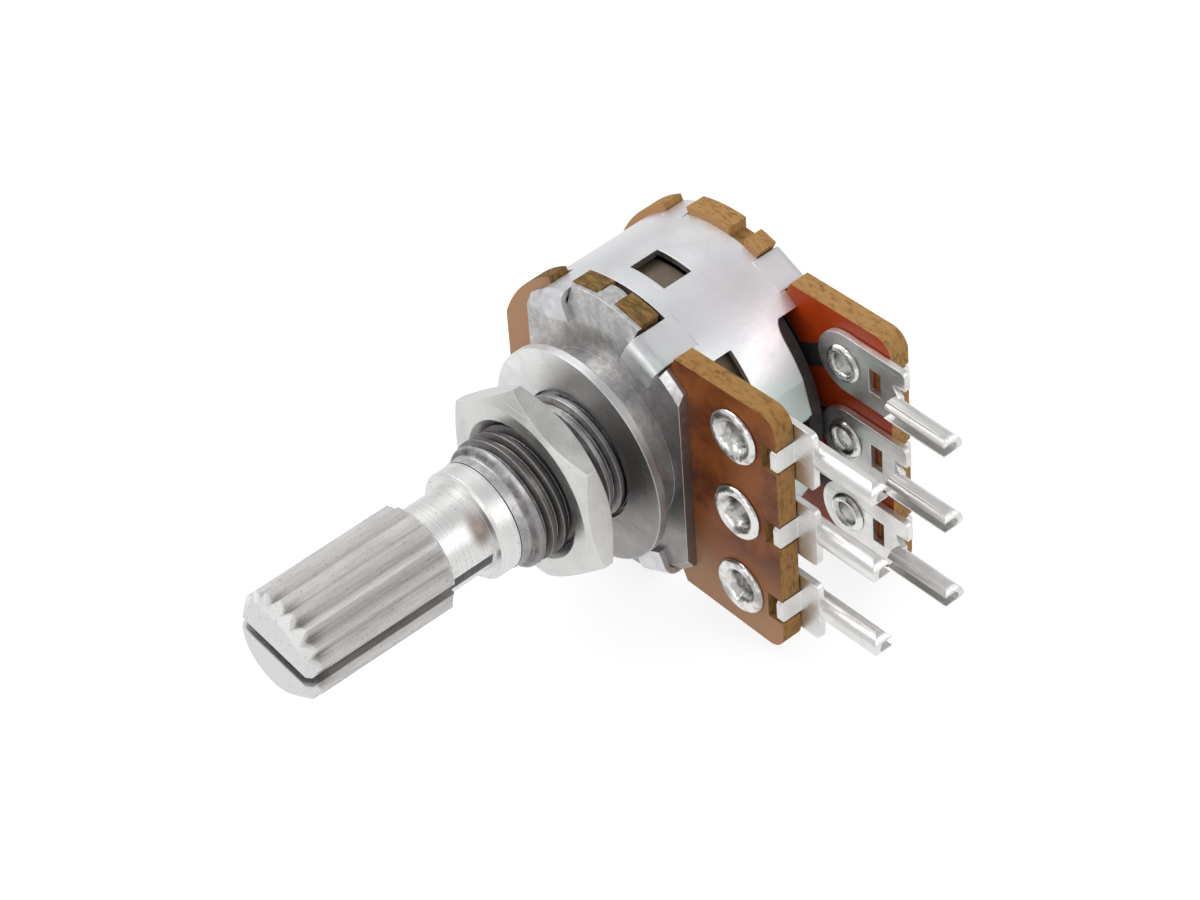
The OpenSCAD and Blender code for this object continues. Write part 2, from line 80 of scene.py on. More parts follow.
table_height = -8.6
bm = bmesh.new()
bmesh.ops.create_grid(bm, x_segments=1, y_segments=1, size=0.6)
bmesh.ops.translate(bm, vec=(0, 0, table_height * MM), verts=bm.verts)
mesh = bpy.data.meshes.new("table")
bm.to_mesh(mesh)
bm.free()
table = bpy.data.objects.new("table", mesh)
bpy.context.scene.collection.objects.link(table)
table_paint = bpy.data.materials.new("table_paint")
table_paint.use_nodes = True
tree = table_paint.node_tree
tree.nodes.clear()
seen_by = add_node(tree, "ShaderNodeLightPath")
card = add_node(tree, "ShaderNodeBsdfDiffuse", values={"Color": (0.75, 0.75, 0.75, 1)})
card_seen = add_node(tree, "ShaderNodeBsdfDiffuse", values={"Color": (0.34, 0.34, 0.34, 1)})
glow = add_node(tree, "ShaderNodeEmission", values={"Color": (1, 1, 1, 1), "Strength": 0.8})
white = add_node(tree, "ShaderNodeAddShader")
mirrored = add_node(tree, "ShaderNodeEmission", values={"Color": (1, 1, 1, 1), "Strength": 0.95})
pick = add_node(tree, "ShaderNodeMixShader")
pick_mirrored = add_node(tree, "ShaderNodeMixShader")
out = add_node(tree, "ShaderNodeOutputMaterial")
tree.links.new(card_seen.outputs[0], white.inputs[0])
tree.links.new(glow.outputs[0], white.inputs[1])
tree.links.new(seen_by.outputs["Is Camera Ray"], pick.inputs[0])
tree.links.new(seen_by.outputs["Is Glossy Ray"], pick_mirrored.inputs[0])
tree.links.new(card.outputs[0], pick_mirrored.inputs[1])
tree.links.new(mirrored.outputs[0], pick_mirrored.inputs[2])
tree.links.new(pick_mirrored.outputs[0], pick.inputs[1])
tree.links.new(white.outputs[0], pick.inputs[2])
tree.links.new(pick.outputs[0], out.inputs["Surface"])
table.data.materials.append(table_paint)

world = bpy.data.worlds.new("studio")
bpy.context.scene.world = world
world.use_nodes = True
tree = world.node_tree
seen_by = add_node(tree, "ShaderNodeLightPath")
level_of_room = add_node(tree, "ShaderNodeMix", {"data_type": "FLOAT"}, {"A": 0.56, "B": 1.0})
tree.links.new(seen_by.outputs["Is Camera Ray"], level_of_room.inputs["Factor"])
tree.links.new(level_of_room.outputs["Result"], tree.nodes["Background"].inputs["Strength"])
tree.nodes["Background"].inputs["Color"].default_value = (1, 1, 1, 1)


def add_softbox(name, place, size, energy):
    """Hangs a square softbox at a place in mm, turned to the part."""
    lamp = bpy.data.objects.new(name, bpy.data.lights.new(name, "AREA"))
    lamp.data.shape = "SQUARE"
    lamp.data.size = size * MM
    lamp.data.energy = energy
    spot = Vector(place) * MM
    lamp.matrix_world = Matrix.Translation(spot) @ spot.to_track_quat("Z", "Y").to_matrix().to_4x4()
    bpy.context.scene.collection.objects.link(lamp)


add_softbox("softbox_left", (-170, -40, 230), 220, 0.42)
add_softbox("softbox_front", (40, -280, 110), 160, 0.16)
add_softbox("softbox_right", (230, 90, 170), 180, 0.2)


# Shaft. It is turned from free-cutting steel bar, the grip is knurled and sawn
# open, and it is matt nickel plated. It runs in the bush.
def make_group(name, inputs, outputs):
    """Starts a node group with float, colour or vector sockets."""
    group = bpy.data.node_groups.new(name, "ShaderNodeTree")
    for label, kind in inputs:
        group.interface.new_socket(name=label, in_out="INPUT", socket_type="NodeSocket" + kind)
    for label, kind in outputs:
        group.interface.new_socket(name=label, in_out="OUTPUT", socket_type="NodeSocket" + kind)
    return group, add_node(group, "NodeGroupInput"), add_node(group, "NodeGroupOutput")


def add_place(tree):
    """Place on the piece in mm."""
    coords = add_node(tree, "ShaderNodeTexCoord")
    scaled = add_node(tree, "ShaderNodeVectorMath", {"operation": "SCALE"}, {"Scale": 1000.0})
    tree.links.new(coords.outputs["Object"], scaled.inputs[0])
    return scaled.outputs[0]


def add_maths(tree, operation, first, second=None, clamp=False):
    """One sum of two sockets or numbers."""
    sum_node = add_node(tree, "ShaderNodeMath", {"operation": operation, "use_clamp": clamp})
    for slot, term in ((0, first), (1, second)):
        if term is None:
            continue
        if isinstance(term, (int, float)):
            sum_node.inputs[slot].default_value = term
        else:
            tree.links.new(term, sum_node.inputs[slot])
    return sum_node.outputs[0]


def add_noise(tree, place, scale, detail=3.0, rough=0.55, stretch=(1, 1, 1), turn=(0, 0, 0)):
    """Noise over a place in mm, stretched and turned where the marks run one way."""
    mapped = add_node(tree, "ShaderNodeMapping", values={"Scale": stretch, "Rotation": turn})
    noise = add_node(tree, "ShaderNodeTexNoise", values={"Scale": scale, "Detail": detail, "Roughness": rough})
    tree.links.new(place, mapped.inputs["Vector"])
    tree.links.new(mapped.outputs[0], noise.inputs["Vector"])
    return noise.outputs[0]


def add_ramp(tree, value, low, high, to_low=0.0, to_high=1.0):
    """Spreads a value from low to high over another range."""
    ramp = add_node(tree, "ShaderNodeMapRange", {"interpolation_type": "SMOOTHSTEP"},
                    {"From Min": low, "From Max": high, "To Min": to_low, "To Max": to_high})
    tree.links.new(value, ramp.inputs["Value"])
    return ramp.outputs["Result"]


def add_mix(tree, share, first, second):
    """Mixes two colours by a share."""
    mix = add_node(tree, "ShaderNodeMix", {"data_type": "RGBA"})
    tree.links.new(share, mix.inputs["Factor"])
    for slot, colour in (("A", first), ("B", second)):
        socket = [s for s in mix.inputs if s.name == slot and s.type == "RGBA"][0]
        if isinstance(colour, tuple):
            socket.default_value = (*colour, 1)
        else:
            tree.links.new(colour, socket)
    return [s for s in mix.outputs if s.type == "RGBA"][0]


# Lines that the lathe tool leaves: rings round the shaft axis, on the faces too.
turned_lines, start, end = make_group("turned_lines", [("Per mm", "Float")], [("Height", "Float"), ("Tone", "Float")])
place = add_place(turned_lines)
parts = add_node(turned_lines, "ShaderNodeSeparateXYZ")
turned_lines.links.new(place, parts.inputs[0])
flat = add_node(turned_lines, "ShaderNodeCombineXYZ")
turned_lines.links.new(parts.outputs[0], flat.inputs[0])
turned_lines.links.new(parts.outputs[2], flat.inputs[2])
radius = add_node(turned_lines, "ShaderNodeVectorMath", {"operation": "LENGTH"})
turned_lines.links.new(flat.outputs[0], radius.inputs[0])
along = add_maths(turned_lines, "ADD", parts.outputs[1], radius.outputs["Value"])
lines = add_node(turned_lines, "ShaderNodeTexNoise", {"noise_dimensions": "1D"}, {"Detail": 3.0, "Roughness": 0.6})
turned_lines.links.new(along, lines.inputs["W"])
turned_lines.links.new(start.outputs["Per mm"], lines.inputs["Scale"])
turned_lines.links.new(lines.outputs[0], end.inputs["Height"])
turned_lines.links.new(add_ramp(turned_lines, lines.outputs[0], 0.3, 0.7), end.inputs["Tone"])

# Fine scratches from handling, and soft smudges that dull the plating.
handled, start, end = make_group("handled", [("Density", "Float")],
                                 [("Scratch", "Float"), ("Smudge", "Float"), ("Speck", "Float")])
place = add_place(handled)
smudge = add_noise(handled, place, 0.45, 4.0, 0.6)
handled.links.new(add_ramp(handled, smudge, 0.35, 0.68), end.inputs["Smudge"])
scratches = []
for turn, stretch in (((0.3, 0.5, 0.9), (0.35, 9, 6)), ((1.1, -0.4, 2.2), (0.5, 11, 7)), ((-0.6, 1.2, 0.2), (0.4, 8, 9))):
    streak = add_noise(handled, place, 1.0, 2.0, 0.5, stretch, turn)
    scratches.append(add_ramp(handled, streak, 0.66, 0.74))
scratch = add_maths(handled, "MAXIMUM", add_maths(handled, "MAXIMUM", scratches[0], scratches[1]), scratches[2])
handled.links.new(add_maths(handled, "MULTIPLY", scratch, start.outputs["Density"]), end.inputs["Scratch"])
speck = add_noise(handled, place, 4.5, 2.0, 0.6)
handled.links.new(add_ramp(handled, speck, 0.62, 0.72), end.inputs["Speck"])

# Edges of plated metal: slightly rounded, rubbed brighter than the faces, and made lighter still by a painted
# highlight.
rubbed_highlit_edge, start, end = make_group("rubbed_highlit_edge", [("Radius mm", "Float")], [("Normal", "Vector"), ("Edge", "Float")])
soft = add_node(rubbed_highlit_edge, "ShaderNodeBevel", {"samples": 4})
plain_normal = add_node(rubbed_highlit_edge, "ShaderNodeNewGeometry")
rubbed_highlit_edge.links.new(add_maths(rubbed_highlit_edge, "MULTIPLY", start.outputs[0], 0.001), soft.inputs["Radius"])
agree = add_node(rubbed_highlit_edge, "ShaderNodeVectorMath", {"operation": "DOT_PRODUCT"})
rubbed_highlit_edge.links.new(soft.outputs[0], agree.inputs[0])
rubbed_highlit_edge.links.new(plain_normal.outputs["Normal"], agree.inputs[1])
rubbed_highlit_edge.links.new(add_ramp(rubbed_highlit_edge, agree.outputs["Value"], 0.995, 0.9), end.inputs["Edge"])
rubbed_highlit_edge.links.new(soft.outputs[0], end.inputs["Normal"])


def start_finish(name, rough, metal=1.0):
    """Starts a material with its shader."""
    made = bpy.data.materials.new(name)
    made.use_nodes = True
    shader = made.node_tree.nodes["Principled BSDF"]
    shader.inputs["Metallic"].default_value = metal
    shader.inputs["Roughness"].default_value = rough
    return made, made.node_tree, shader


def place_group(tree, group, value=None):
    """Places a node group, with its one value set."""
    placed = add_node(tree, "ShaderNodeGroup", {"node_tree": group})
    if value is not None:
        placed.inputs[0].default_value = value
    return placed


def add_relief(tree, shader, height, depth, normal=None):
    """Gives the shader a relief of a depth in mm."""
    bump = add_node(tree, "ShaderNodeBump", values={"Strength": 1.0, "Distance": depth * MM})
    tree.links.new(height, bump.inputs["Height"])
    if normal is not None:
        tree.links.new(normal, bump.inputs["Normal"])
    tree.links.new(bump.outputs[0], shader.inputs["Normal"])


def dress(node, finish):
    """Gives a CAD node its finish."""
    nodes[node].data.materials.clear()
    nodes[node].data.materials.append(finish)


knurl_end = -10.9
shaft_finish, tree, shader = start_finish("shaft_matt_nickel", 0.4)
place = add_place(tree)
parts = add_node(tree, "ShaderNodeSeparateXYZ")
tree.links.new(place, parts.inputs[0])
turned = add_ramp(tree, parts.outputs[1], knurl_end - 0.25, knurl_end + 0.15)
rings = place_group(tree, turned_lines, 9.0)
wear = place_group(tree, handled, 0.6)
edge = place_group(tree, rubbed_highlit_edge, 0.05)
grain = add_noise(tree, place, 9.0, 4.0, 0.7)
streaks = add_noise(tree, place, 1.0, 3.0, 0.6, (7, 0.5, 7))
grip = add_mix(tree, add_ramp(tree, streaks, 0.3, 0.7), (0.6, 0.59, 0.58), (0.7, 0.69, 0.68))
grip = add_mix(tree, add_ramp(tree, grain, 0.5, 0.75, 0, 0.4), grip, (0.42, 0.41, 0.4))
# painted shade in the grooves of the knurl, most of it at the tip
flat = add_node(tree, "ShaderNodeCombineXYZ")
tree.links.new(parts.outputs[0], flat.inputs[0])
tree.links.new(parts.outputs[2], flat.inputs[2])
radius = add_node(tree, "ShaderNodeVectorMath", {"operation": "LENGTH"})
tree.links.new(flat.outputs[0], radius.inputs[0])
turned_r = add_maths(tree, "MINIMUM", add_maths(tree, "ADD", add_maths(tree, "MULTIPLY", parts.outputs[1], 0.86), 19.75), 3.0)
groove = add_ramp(tree, add_maths(tree, "SUBTRACT", turned_r, radius.outputs["Value"]), 0.12, 0.42)
tip_shade = add_ramp(tree, parts.outputs[1], -18.2, -19.6, 0.14, 0.75)
groove = add_maths(tree, "MULTIPLY", groove, add_ramp(tree, parts.outputs[1], -20.16, -20.1))
knurl_shade = add_maths(tree, "MULTIPLY", add_maths(tree, "MULTIPLY", groove, tip_shade), add_ramp(tree, grain, 0.25, 0.6, 0.5, 1.0))
grip = add_mix(tree, add_ramp(tree, parts.outputs[1], -19.4, -19.55), grip, (0.78, 0.775, 0.77))
grip = add_mix(tree, knurl_shade, grip, (0.14, 0.12, 0.11))
bright = add_mix(tree, rings.outputs["Tone"], (0.76, 0.755, 0.75), (0.86, 0.855, 0.845))
colour = add_mix(tree, turned, grip, bright)
colour = add_mix(tree, add_maths(tree, "MULTIPLY", wear.outputs["Speck"], 0.35), colour, (0.2, 0.18, 0.16))
# brown stain on the neck, on the side away from the table
offset = add_node(tree, "ShaderNodeVectorMath", {"operation": "SUBTRACT"}, {1: (1.9, -8.6, 1.5)})
tree.links.new(place, offset.inputs[0])
squeeze = add_node(tree, "ShaderNodeVectorMath", {"operation": "MULTIPLY"}, {1: (0.9, 1.6, 0.9)})
tree.links.new(offset.outputs[0], squeeze.inputs[0])
far = add_node(tree, "ShaderNodeVectorMath", {"operation": "LENGTH"})
tree.links.new(squeeze.outputs[0], far.inputs[0])
stain = add_maths(tree, "MULTIPLY", add_ramp(tree, far.outputs["Value"], 1.25, 0.3), 0.8)
colour = add_mix(tree, stain, colour, (0.16, 0.1, 0.07))
# painted highlight and rubbing: the edges lighter
colour = add_mix(tree, add_maths(tree, "MULTIPLY", edge.outputs["Edge"], 0.35), colour, (0.92, 0.92, 0.91))
tree.links.new(colour, shader.inputs["Base Color"])
rough = add_ramp(tree, turned, 0.0, 1.0, 0.55, 0.38)
rough = add_maths(tree, "ADD", rough, add_maths(tree, "MULTIPLY", wear.outputs["Smudge"], 0.1))
tree.links.new(rough, shader.inputs["Roughness"])
matt = add_maths(tree, "MULTIPLY", add_maths(tree, "SUBTRACT", 1.0, turned), add_maths(tree, "ADD", grain, streaks))
relief = add_maths(tree, "ADD", add_maths(tree, "MULTIPLY", add_maths(tree, "MULTIPLY", rings.outputs["Height"], turned), 0.5), matt)
add_relief(tree, shader, relief, 0.02, edge.outputs["Normal"])
dress("shaft", shaft_finish)


# Retaining clip. A spring steel E-clip, blanked and left bare, snapped into the
# groove of the shaft behind the mounting plate.
clip_finish, tree, shader = start_finish("clip_spring_steel", 0.35)
wear = place_group(tree, handled, 0.8)
edge = place_group(tree, rubbed_highlit_edge, 0.04)
colour = add_mix(tree, wear.outputs["Smudge"], (0.36, 0.36, 0.37), (0.5, 0.5, 0.51))
# painted highlight and rubbing: the edges lighter
colour = add_mix(tree, edge.outputs["Edge"], colour, (0.68, 0.68, 0.69))
tree.links.new(colour, shader.inputs["Base Color"])
add_relief(tree, shader, wear.outputs["Scratch"], 0.01, edge.outputs["Normal"])
dress("retaining_clip", clip_finish)


# Mounting plate and bush. One zinc casting with satin nickel plate. The bush is
# threaded M7 by 0.75 down to the mounting face, and this piece carries the thread.
bush_front = -6.9
thread_stop = -0.3
thread_pitch = 0.75
crest_r = 3.5
root_r = 3.16
plain_end = 0.5
bore_r = 2.54
steps_a_turn = 64
bm = bmesh.new()
ridge = [(root_r, 0), (root_r, 0.06), (3.45, 0.22), (crest_r, 0.26),
         (crest_r, 0.49), (3.45, 0.53), (root_r, 0.69), (root_r, thread_pitch)]
line = [bm.verts.new((r * MM, (bush_front - 0.9 + y) * MM, 0)) for r, y in ridge]
edges = [bm.edges.new(pair) for pair in zip(line, line[1:])]
turns = 10
bmesh.ops.spin(bm, geom=line + edges, cent=(0, 0, 0), axis=(0, 1, 0), angle=2 * math.pi * turns,
               dvec=(0, thread_pitch / steps_a_turn * MM, 0), steps=steps_a_turn * turns, use_merge=False)
bmesh.ops.remove_doubles(bm, verts=bm.verts, dist=0.002 * MM)
for stop, keep in ((bush_front, 1), (thread_stop, -1)):
    bmesh.ops.bisect_plane(bm, geom=bm.verts[:] + bm.edges[:] + bm.faces[:], dist=1e-9,
                           plane_co=(0, stop * MM, 0), plane_no=(0, -keep, 0), clear_outer=True)
# plain end, as wide as the shaft's collar, and the thread's lead-in behind it
for vert in bm.verts:
    reach = math.hypot(vert.co.x, vert.co.z)
    limit = (root_r - 0.13) * MM + max(0, vert.co.y - (bush_front + plain_end) * MM)
    if reach > limit:
        vert.co.x *= limit / reach
        vert.co.z *= limit / reach
# bore, closed to the thread at both ends
for stop in (bush_front, thread_stop):
    rim = [edge for edge in bm.edges if edge.is_boundary and abs(edge.verts[0].co.y - stop * MM) < 1e-6
           and abs(edge.verts[1].co.y - stop * MM) < 1e-6]
    ring = bmesh.ops.create_circle(bm, segments=96, radius=bore_r * MM,
                                   matrix=Matrix.Translation((0, stop * MM, 0)) @ Matrix.Rotation(math.pi / 2, 4, "X"))
    ring_edges = list({edge for vert in ring["verts"] for edge in vert.link_edges})
    bmesh.ops.bridge_loops(bm, edges=rim + ring_edges)
ends = [edge for edge in bm.edges if edge.is_boundary]
bmesh.ops.bridge_loops(bm, edges=ends)
# flange behind it, from the casting
flange = bmesh.new()
flange.from_mesh(nodes["bush_plate"].data)
bmesh.ops.remove_doubles(flange, verts=flange.verts, dist=0.001 * MM)
bmesh.ops.bisect_plane(flange, geom=flange.verts[:] + flange.edges[:] + flange.faces[:], dist=1e-9,
                       plane_co=(0, thread_stop * MM, 0), plane_no=(0, -1, 0), clear_outer=True)
bmesh.ops.bridge_loops(flange, edges=[edge for edge in flange.edges if edge.is_boundary])
# between the tabs the rim of the casting is flush with the wafer behind it
rim_r = 8.45
wafer_face = 2.1
for vert in flange.verts:
    reach = math.hypot(vert.co.x, vert.co.z) / MM
    turn = math.degrees(math.atan2(abs(vert.co.z), vert.co.x))
    if not 73 < turn < 108 or reach < 7.1:
        continue
    deep = vert.co.y / MM
    if deep > wafer_face + 0.01:
        on_peg = -0.66 < vert.co.x / MM < 0.46
        vert.co.y = (wafer_face + (deep - wafer_face) * 0.74 if on_peg else wafer_face - 0.01) * MM
    if reach > 7.9:
        vert.co.x *= rim_r / reach
        vert.co.z *= rim_r / reach
spare = bpy.data.meshes.new("flange")
flange.to_mesh(spare)
flange.free()
bm.from_mesh(spare)
bpy.data.meshes.remove(spare)


def round_shade(bm, angle=32):
    """Shades smooth, with a crease at each edge sharper than an angle."""
    for face in bm.faces:
        face.smooth = True
    for edge in bm.edges:
        edge.smooth = edge.calc_face_angle(0) < math.radians(angle)


def finish_piece(name, bm, finish, body, stands_for=()):
    """Makes the piece with its finish, hangs it under its body, and hides the nodes that it stands for."""
    mesh = bpy.data.meshes.new(name)
    bm.to_mesh(mesh)
    bm.free()
    mesh.materials.append(finish)
    piece = bpy.data.objects.new(name, mesh)
    bpy.context.scene.collection.objects.link(piece)
    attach(piece, body)
    if stands_for:
        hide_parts(*stands_for)
    return piece


bmesh.ops.recalc_face_normals(bm, faces=bm.faces)
round_shade(bm)
cast_finish, tree, shader = start_finish("casting_satin_nickel", 0.3)
place = add_place(tree)
rings = place_group(tree, turned_lines, 3.0)
wear = place_group(tree, handled, 0.7)
edge = place_group(tree, rubbed_highlit_edge, 0.06)
mottle = add_noise(tree, place, 2.4, 4.0, 0.7)
colour = add_mix(tree, add_ramp(tree, mottle, 0.35, 0.65), (0.5, 0.495, 0.49), (0.7, 0.695, 0.69))
colour = add_mix(tree, add_maths(tree, "MULTIPLY", wear.outputs["Smudge"], 0.4), colour, (0.32, 0.31, 0.315))
parts = add_node(tree, "ShaderNodeSeparateXYZ")
tree.links.new(place, parts.inputs[0])
# painted shade: darker on the side of the pins
slant = add_maths(tree, "SUBTRACT", parts.outputs[2], parts.outputs[0])
colour = add_mix(tree, add_ramp(tree, slant, 3.0, -7.0, 0, 0.78), colour, (0.24, 0.228, 0.222))
# painted shade in the roots of the thread, in patches, and over the thread in front of the nut and within it
flat = add_node(tree, "ShaderNodeCombineXYZ")
tree.links.new(parts.outputs[0], flat.inputs[0])
tree.links.new(parts.outputs[2], flat.inputs[2])
radius = add_node(tree, "ShaderNodeVectorMath", {"operation": "LENGTH"})
tree.links.new(flat.outputs[0], radius.inputs[0])
root = add_ramp(tree, radius.outputs["Value"], crest_r - 0.02, crest_r - 0.3)
patches = add_noise(tree, place, 0.7, 4.0, 0.65)
thread_shade = add_maths(tree, "MULTIPLY", root, add_ramp(tree, patches, 0.35, 0.65, 0.4, 0.95))
thread_body_shade = add_maths(tree, "MULTIPLY", add_ramp(tree, parts.outputs[1], bush_front + 0.65, bush_front + 1.5, 0, 0.85),
                 add_ramp(tree, parts.outputs[1], -3.4, -2.9, 1, 0.45))
thread_body_shade = add_maths(tree, "MULTIPLY", thread_body_shade, add_ramp(tree, radius.outputs["Value"], crest_r + 0.2, crest_r + 0.1))
thread_shade = add_maths(tree, "MAXIMUM", thread_shade, thread_body_shade)
thread_shade = add_maths(tree, "MULTIPLY", thread_shade, add_ramp(tree, parts.outputs[1], bush_front + plain_end - 0.05, bush_front + plain_end + 0.1))
colour = add_mix(tree, thread_shade, colour, (0.075, 0.068, 0.064))
colour = add_mix(tree, add_maths(tree, "MULTIPLY", wear.outputs["Speck"], 0.25), colour, (0.22, 0.19, 0.17))
# painted highlight and rubbing: the edges lighter
colour = add_mix(tree, add_maths(tree, "MULTIPLY", edge.outputs["Edge"], 0.5), colour, (0.9, 0.9, 0.89))
tree.links.new(colour, shader.inputs["Base Color"])
tree.links.new(add_maths(tree, "ADD", add_maths(tree, "MULTIPLY", wear.outputs["Smudge"], 0.14), 0.36), shader.inputs["Roughness"])
relief = add_maths(tree, "ADD", add_maths(tree, "ADD", add_maths(tree, "MULTIPLY", rings.outputs["Height"], 0.25), mottle), add_maths(tree, "MULTIPLY", wear.outputs["Scratch"], -0.5))
add_relief(tree, shader, relief, 0.012, edge.outputs["Normal"])
finish_piece("threaded_casting", bm, cast_finish, "housing", ["bush_plate"])


# Flat washer and hexagon nut. Bright nickel plated steel, the washer blanked and
# the nut turned from hexagon bar, both loose on the bush.
nut_finish, tree, shader = start_finish("nut_bright_nickel", 0.24)
place = add_place(tree)
wear = place_group(tree, handled, 1.0)
rings = place_group(tree, turned_lines, 2.2)
edge = place_group(tree, rubbed_highlit_edge, 0.07)
colour = add_mix(tree, wear.outputs["Smudge"], (0.64, 0.635, 0.625), (0.75, 0.745, 0.735))
colour = add_mix(tree, add_maths(tree, "MULTIPLY", wear.outputs["Scratch"], 0.4), colour, (0.5, 0.49, 0.48))
# painted highlight and rubbing: the edges lighter
colour = add_mix(tree, add_maths(tree, "MULTIPLY", edge.outputs["Edge"], 0.6), colour, (0.93, 0.93, 0.92))
tree.links.new(colour, shader.inputs["Base Color"])
tree.links.new(add_maths(tree, "ADD", add_maths(tree, "MULTIPLY", wear.outputs["Smudge"], 0.12), 0.3), shader.inputs["Roughness"])
relief = add_maths(tree, "ADD", add_maths(tree, "MULTIPLY", rings.outputs["Height"], 0.5),
                   add_maths(tree, "MULTIPLY", wear.outputs["Scratch"], -0.7))
add_relief(tree, shader, relief, 0.012, edge.outputs["Normal"])
dress("hex_nut", nut_finish)
washer_finish, tree, shader = start_finish("washer_dull_nickel", 0.34)
place = add_place(tree)
wear = place_group(tree, handled, 0.9)
rings = place_group(tree, turned_lines, 12.0)
edge = place_group(tree, rubbed_highlit_edge, 0.09)
parts = add_node(tree, "ShaderNodeSeparateXYZ")
tree.links.new(place, parts.inputs[0])
# painted reflection: the face lighter towards the top left and darker towards the lower right
slant = add_maths(tree, "SUBTRACT", parts.outputs[2], parts.outputs[0])
painted_sheen = add_mix(tree, add_ramp(tree, slant, -4.0, 8.0), (0.3, 0.29, 0.285), (0.92, 0.915, 0.91))
colour = add_mix(tree, add_maths(tree, "MULTIPLY", wear.outputs["Smudge"], 0.35), painted_sheen, (0.5, 0.49, 0.485))
# painted highlight and rubbing: the edges lighter
colour = add_mix(tree, add_maths(tree, "MULTIPLY", edge.outputs["Edge"], 0.8), colour, (0.9, 0.9, 0.89))
tree.links.new(colour, shader.inputs["Base Color"])
relief = add_maths(tree, "ADD", rings.outputs["Height"], add_maths(tree, "MULTIPLY", wear.outputs["Scratch"], -0.5))
add_relief(tree, shader, relief, 0.02, edge.outputs["Normal"])
dress("flat_washer", washer_finish)


# Wafers. Phenolic paper board, punched, with a glazed face and a raw fibrous
# edge where the layers of paper show. The rear one is the redder of the two.
board, start, end = make_group(
    "board", [("Face", "Color"), ("Face deep", "Color"), ("Face pale", "Color"), ("Edge", "Color"), ("Edge deep", "Color")],
    [("Color", "Color"), ("Height", "Float"), ("Roughness", "Float")])
place = add_place(board)
parts = add_node(board, "ShaderNodeSeparateXYZ")
board.links.new(place, parts.inputs[0])
side = add_node(board, "ShaderNodeNewGeometry")
side_parts = add_node(board, "ShaderNodeSeparateXYZ")
board.links.new(side.outputs["Normal"], side_parts.inputs[0])
cut = add_ramp(board, add_maths(board, "ABSOLUTE", side_parts.outputs[1]), 0.7, 0.5)
cloud = add_noise(board, place, 0.35, 4.0, 0.6)
flecks = add_noise(board, place, 3.2, 4.0, 0.7)
face = add_mix(board, add_ramp(board, cloud, 0.35, 0.65), start.outputs["Face"], start.outputs["Face deep"])
low = add_maths(board, "ADD", parts.outputs[2], add_maths(board, "MULTIPLY", cloud, 5.0))
left = add_maths(board, "ADD", parts.outputs[0], add_maths(board, "MULTIPLY", cloud, 4.0))
pale = add_maths(board, "MAXIMUM", add_ramp(board, low, 1.0, -5.0), add_ramp(board, left, 0.0, -4.0))
face = add_mix(board, add_maths(board, "MULTIPLY", pale, 0.8), face, start.outputs["Face pale"])
# the punch has broken the glaze away round the rim of the rear board's inner face
flat = add_node(board, "ShaderNodeCombineXYZ")
board.links.new(parts.outputs[0], flat.inputs[0])
board.links.new(parts.outputs[2], flat.inputs[2])
radius = add_node(board, "ShaderNodeVectorMath", {"operation": "LENGTH"})
board.links.new(flat.outputs[0], radius.inputs[0])
on_rim = add_maths(board, "MULTIPLY", add_ramp(board, radius.outputs["Value"], 8.0, 8.12), add_ramp(board, parts.outputs[0], 5.0, 4.0))
inner_face = add_maths(board, "MULTIPLY", add_ramp(board, parts.outputs[1], 7.0, 8.0), add_ramp(board, side_parts.outputs[1], 0.1, -0.1))
on_rim = add_maths(board, "MULTIPLY", on_rim, inner_face)
face = add_mix(board, add_maths(board, "MULTIPLY", on_rim, 0.85), face, start.outputs["Edge"])
layers = add_noise(board, place, 1.9, 5.0, 0.7, (1, 2.4, 1))
raw = add_mix(board, add_ramp(board, layers, 0.42, 0.78), start.outputs["Edge"], start.outputs["Edge deep"])
raw_flecked = add_mix(board, add_ramp(board, flecks, 0.6, 0.75, 0, 0.3), raw, start.outputs["Edge deep"])
# painted shade on the cut rim between the front tabs, broken up along the layers
rim_shade = add_maths(board, "MULTIPLY", add_ramp(board, parts.outputs[1], 4.2, 3.6), add_ramp(board, parts.outputs[0], 4.6, 3.8))
rim_shade = add_maths(board, "MULTIPLY", rim_shade, add_ramp(board, radius.outputs["Value"], 7.4, 7.8))
rim_shade = add_maths(board, "MULTIPLY", rim_shade, add_ramp(board, layers, 0.3, 0.62, 0.25, 0.8))
fine = add_noise(board, place, 7.0, 3.0, 0.6)
raw_flecked = add_mix(board, rim_shade, raw_flecked, (0.09, 0.062, 0.022))
board.links.new(add_mix(board, cut, face, raw_flecked), end.inputs["Color"])
rise = add_maths(board, "ADD", add_maths(board, "MULTIPLY", layers, cut), add_maths(board, "MULTIPLY", fine, 0.25))
board.links.new(rise, end.inputs["Height"])
board.links.new(add_ramp(board, cut, 0, 1, 0.34, 0.8), end.inputs["Roughness"])
